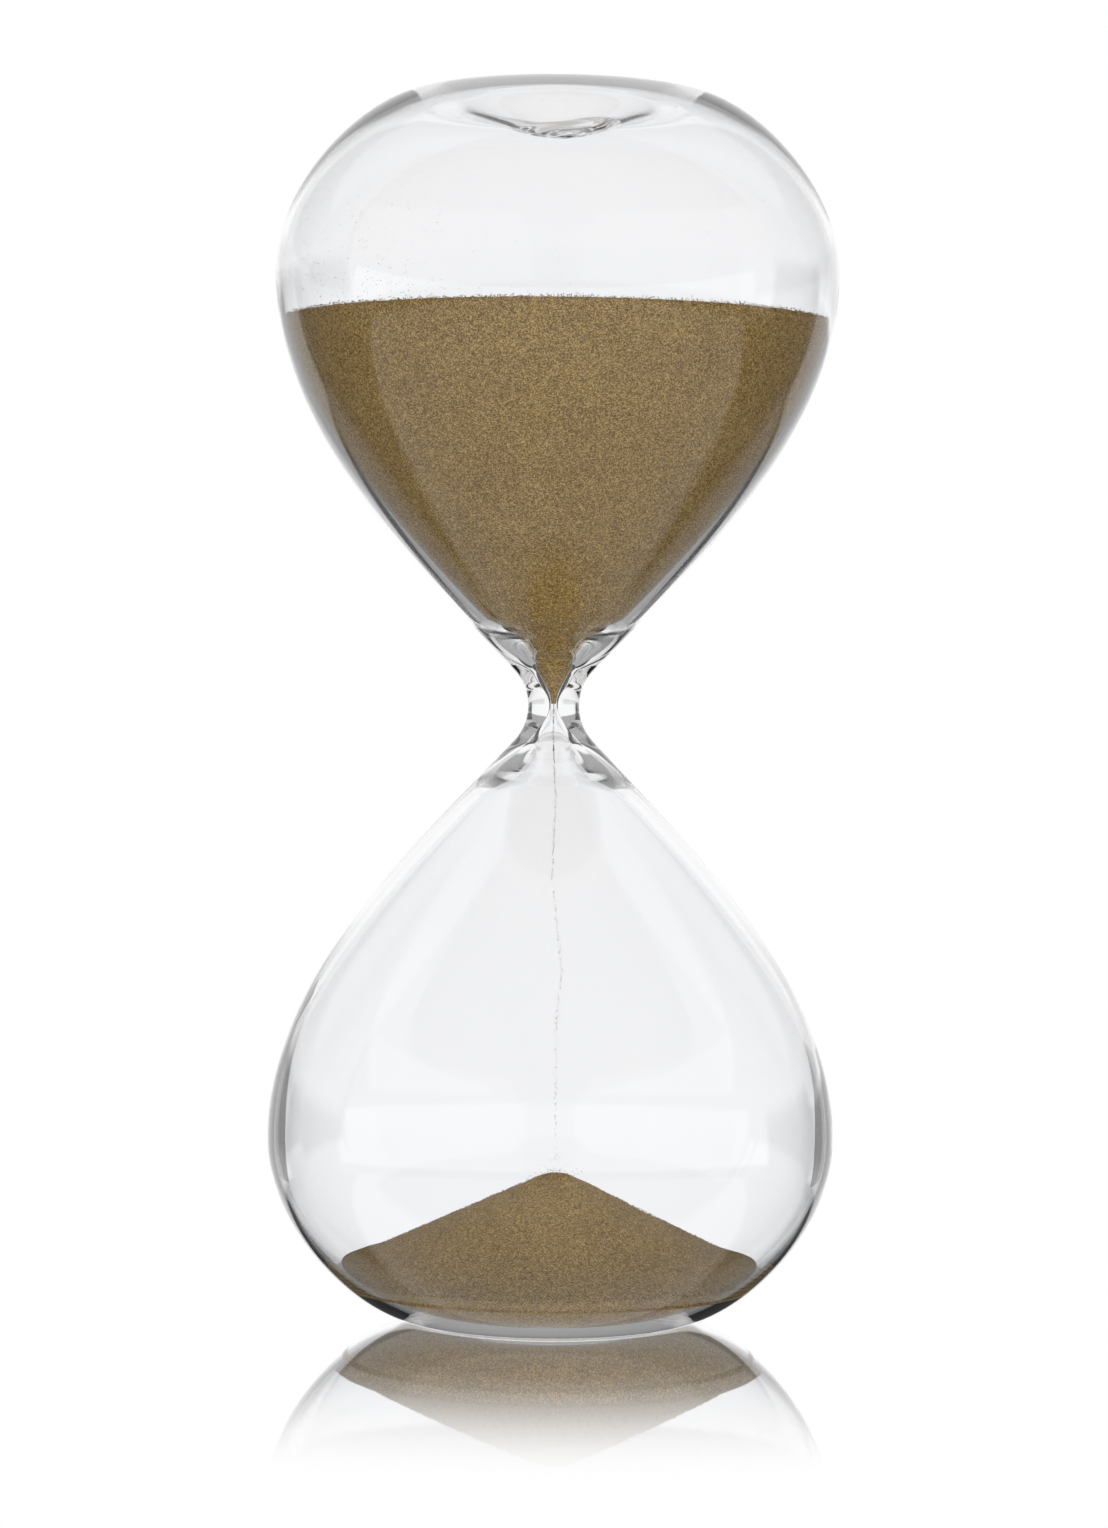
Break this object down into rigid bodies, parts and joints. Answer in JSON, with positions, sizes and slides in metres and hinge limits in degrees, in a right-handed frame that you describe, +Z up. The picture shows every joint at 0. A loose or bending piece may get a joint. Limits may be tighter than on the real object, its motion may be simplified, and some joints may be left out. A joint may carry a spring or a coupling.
{
  "type": "hourglass",
  "caption": "Frameless blown-glass hourglass: teardrop bulbs fused at a thick narrow neck, hollowed ends, bronze sand, a falling stream and a growing pile.",
  "frame": {"origin": "centre of the circle that the base ring stands on", "axes": "+Z up along the axis of the glass, from the base ring through the neck to the top ring; the glass is round, so X and Y are free, and most clinging grains are towards -X"},
  "size_m": [0.1152, 0.1152, 0.25],
  "materials": {
    "blown_glass": "polished",
    "neck_glass": "polished",
    "seal_glass": "polished",
    "bronze_sand": "matte",
    "falling_sand": "matte",
    "sand_dust": "matte"
  },
  "bodies": {
    "glass": {"upper_bulb": "blown_glass", "lower_bulb": "blown_glass", "neck": "neck_glass", "fill_seal": "seal_glass", "base_seal": "seal_glass", "upper_sand": "bronze_sand", "sand_stream": "falling_sand", "lower_sand": "bronze_sand", "clinging_grains": "sand_dust"},
    "pile": {"sand_pile": "bronze_sand"},
    "draining": {"draining_sand": "bronze_sand"}
  },
  "joints": [
    {"name": "pile_growth", "type": "slide", "parent": "glass", "child": "pile", "axis": [0, 0, 1], "range_m": [0, 0.0024], "deforming": ["sand_stream"]},
    {"name": "crater_sink", "type": "slide", "parent": "glass", "child": "draining", "axis": [0, 0, -1], "range_m": [0, 0.00146], "deforming": ["draining_sand"]}
  ],
  "couplings": [
    {"joint": "crater_sink", "follows": "pile_growth", "ratio": 0.61}
  ]
}
